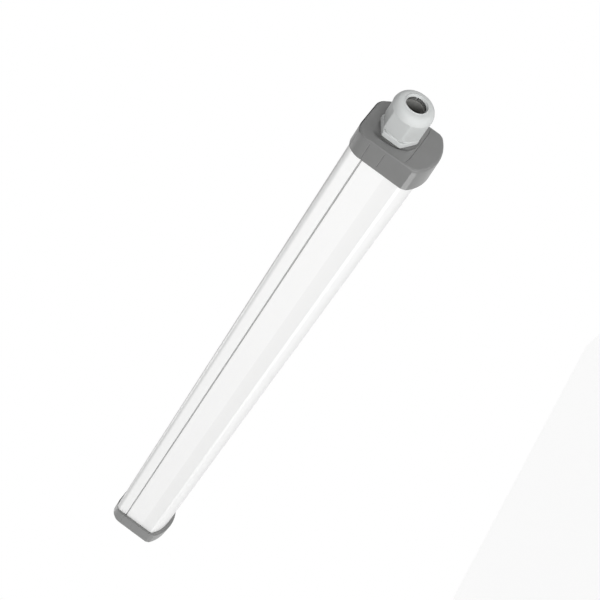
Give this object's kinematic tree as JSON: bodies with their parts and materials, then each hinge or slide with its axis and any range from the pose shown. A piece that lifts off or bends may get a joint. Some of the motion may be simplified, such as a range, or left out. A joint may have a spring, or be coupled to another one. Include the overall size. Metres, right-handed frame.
{
  "type": "vapor tight light fixture",
  "caption": "Slim sealed linear light: opal tube with flat back and round nose, moulded grey end caps and a light grey cable gland at one end.",
  "frame": {"origin": "middle of the tube's flat back face, half way between the end caps' outer faces", "axes": "+X along the tube towards the gland end, +Z out of the flat back (up, towards the ceiling), Y across"},
  "size_m": [0.6264, 0.0422, 0.053],
  "materials": {
    "opal": "smooth milky white, satin",
    "cap_grey": "smooth moulded, satin",
    "gland_grey": "smooth moulded nylon, satin",
    "dark_rubber": "matte",
    "silicone": "matte",
    "white_steel": "satin powder coat",
    "white_plastic": "satin",
    "led_board": "white solder mask",
    "driver_white": "fine grain",
    "board_green": "solder mask",
    "zinc_steel": "zinc plated",
    "spring_steel": "bright",
    "button_orange": "smooth",
    "wire_green": "smooth PVC",
    "wire_blue": "smooth PVC",
    "wire_brown": "smooth PVC",
    "wire_red": "smooth PVC",
    "wire_black": "smooth PVC"
  },
  "bodies": {
    "fixture": {"diffuser_tube": "opal", "end_cap_gland": "cap_grey", "end_cap_blind": "cap_grey", "end_seal_gland": "silicone", "end_seal_blind": "silicone", "gland_body": "gland_grey", "gland_gasket": "dark_rubber", "gland_lock_nut": "gland_grey", "gear_tray": "white_steel", "tray_stop_gland": "white_plastic", "tray_stop_blind": "white_plastic", "led_board_gland": "led_board", "led_board_blind": "led_board", "board_link": "white_plastic", "driver_base": "driver_white", "driver_board": "board_green", "driver_cover": "driver_white", "driver_screw_inner": "zinc_steel", "driver_screw_gland_end": "zinc_steel", "earth_screw": "zinc_steel", "terminal_block": "white_plastic", "terminal_spring_1": "spring_steel", "terminal_spring_2": "spring_steel", "terminal_spring_3": "spring_steel", "wire_earth": "wire_green", "wire_neutral": "wire_blue", "wire_live": "wire_brown", "led_lead_plus": "wire_red", "led_lead_minus": "wire_black"},
    "gland_clamp": {"gland_clamp_ring": "gland_grey", "gland_seal_insert": "dark_rubber"},
    "gland_nut": {"gland_dome_nut": "gland_grey"},
    "button_1": {"terminal_button_1": "button_orange"},
    "button_2": {"terminal_button_2": "button_orange"},
    "button_3": {"terminal_button_3": "button_orange"}
  },
  "joints": [
    {"name": "gland_clamp_travel", "type": "slide", "parent": "fixture", "child": "gland_clamp", "axis": [1, 0, 0], "range_m": [0, 0.0045]},
    {"name": "gland_nut_turn", "type": "hinge", "parent": "gland_clamp", "child": "gland_nut", "pos_m": [0.31, 0, -0.0202], "axis": [1, 0, 0], "range_deg": [0, 1080]},
    {"name": "button_1_press", "type": "slide", "parent": "fixture", "child": "button_1", "axis": [0, 0, -1], "range_m": [0, 0.0015], "stiffness_N_per_m": 800, "deforming": ["terminal_spring_1"]},
    {"name": "button_2_press", "type": "slide", "parent": "fixture", "child": "button_2", "axis": [0, 0, -1], "range_m": [0, 0.0015], "stiffness_N_per_m": 800, "deforming": ["terminal_spring_2"]},
    {"name": "button_3_press", "type": "slide", "parent": "fixture", "child": "button_3", "axis": [0, 0, -1], "range_m": [0, 0.0015], "stiffness_N_per_m": 800, "deforming": ["terminal_spring_3"]}
  ],
  "couplings": [
    {"joint": "gland_clamp_travel", "follows": "gland_nut_turn", "m_per_rad": 0.00023873}
  ]
}
